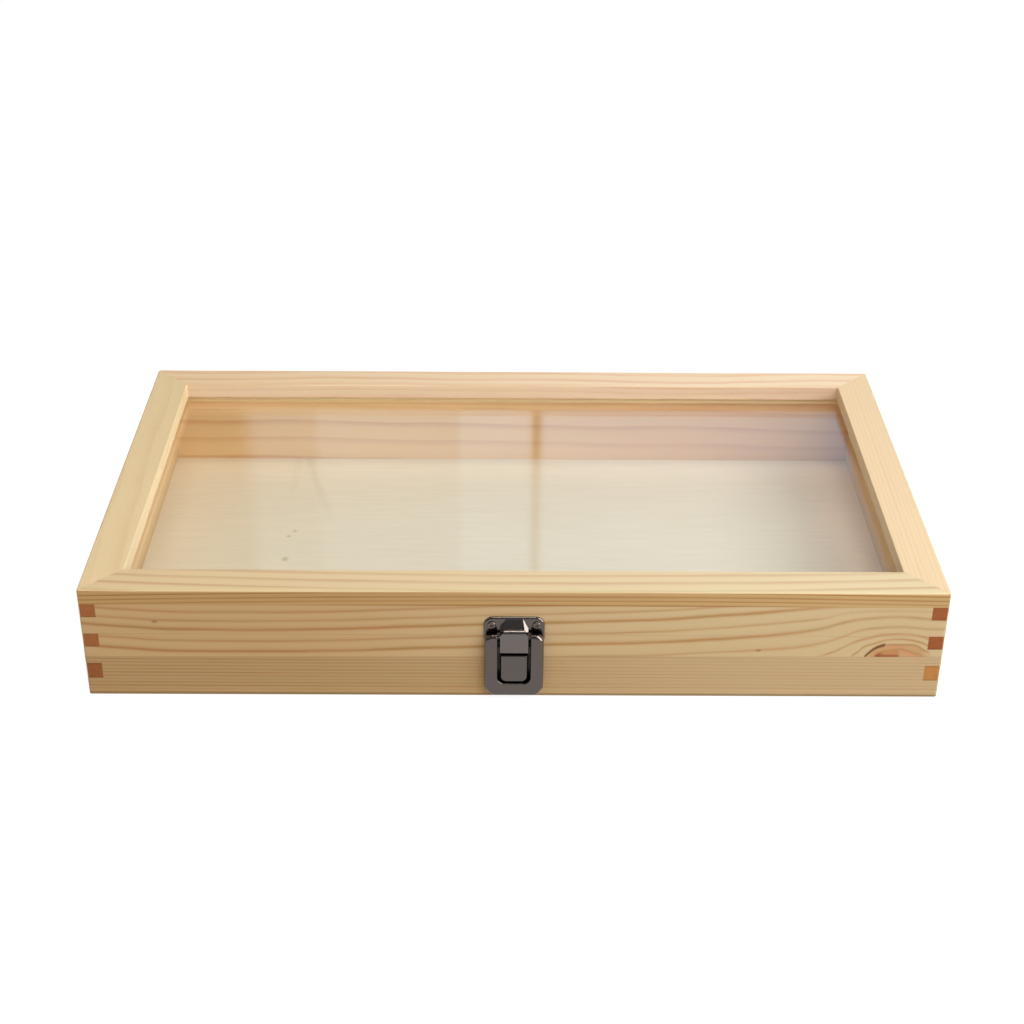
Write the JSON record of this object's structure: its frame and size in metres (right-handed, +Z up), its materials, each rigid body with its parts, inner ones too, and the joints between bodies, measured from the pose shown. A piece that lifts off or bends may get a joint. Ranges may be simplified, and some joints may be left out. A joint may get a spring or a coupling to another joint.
{
  "type": "display case",
  "caption": "Shallow finger-jointed pine display case with a hinged glass-topped lid, mitred top frame and a dark nickel toggle latch on the front.",
  "frame": {"origin": "middle of the underside of the whole object's bounding box", "axes": "+X to the right along the front, +Y from the latch towards the hinges, +Z up"},
  "size_m": [0.42, 0.2524, 0.061],
  "materials": {
    "pine": "sanded bare softwood with flat-sawn grain",
    "plywood": "pale sanded plywood",
    "glass": "clear float glass",
    "dark_nickel": "polished dark nickel plating on pressed steel"
  },
  "bodies": {
    "base": {"base_front_board": "pine", "base_back_board": "pine", "base_left_board": "pine", "base_right_board": "pine", "bottom_panel": "plywood", "latch_base_plate": "dark_nickel", "latch_base_screws": "dark_nickel", "latch_lever_pin": "dark_nickel", "hinge_left_base_leaf": "dark_nickel", "hinge_right_base_leaf": "dark_nickel", "hinge_left_pin": "dark_nickel", "hinge_right_pin": "dark_nickel", "hinge_base_screws": "dark_nickel"},
    "lid": {"frame_front_rail": "pine", "frame_back_rail": "pine", "frame_left_rail": "pine", "frame_right_rail": "pine", "lid_front_board": "pine", "lid_back_board": "pine", "lid_left_board": "pine", "lid_right_board": "pine", "glass_pane": "glass", "glass_bead_front": "pine", "glass_bead_back": "pine", "glass_bead_left": "pine", "glass_bead_right": "pine", "strike_plate": "dark_nickel", "strike_screws": "dark_nickel", "hinge_left_lid_leaf": "dark_nickel", "hinge_right_lid_leaf": "dark_nickel", "hinge_lid_screws": "dark_nickel"},
    "latch_lever": {"latch_lever": "dark_nickel", "latch_hook_pin": "dark_nickel"},
    "latch_hook": {"latch_hook": "dark_nickel"}
  },
  "joints": [
    {"name": "lid_hinge", "type": "hinge", "parent": "base", "child": "lid", "pos_m": [0, 0.12425, 0.03615], "axis": [-1, 0, 0], "range_deg": [0, 180]},
    {"name": "latch_lever_hinge", "type": "hinge", "parent": "base", "child": "latch_lever", "pos_m": [0, -0.1238, 0.03695], "axis": [-1, 0, 0], "range_deg": [0, 140]},
    {"name": "latch_hook_hinge", "type": "hinge", "parent": "latch_lever", "child": "latch_hook", "pos_m": [0, -0.12335, 0.0318], "axis": [-1, 0, 0], "range_deg": [-165, 0]}
  ],
  "couplings": [
    {"joint": "latch_hook_hinge", "follows": "latch_lever_hinge", "ratio": -1.1}
  ]
}
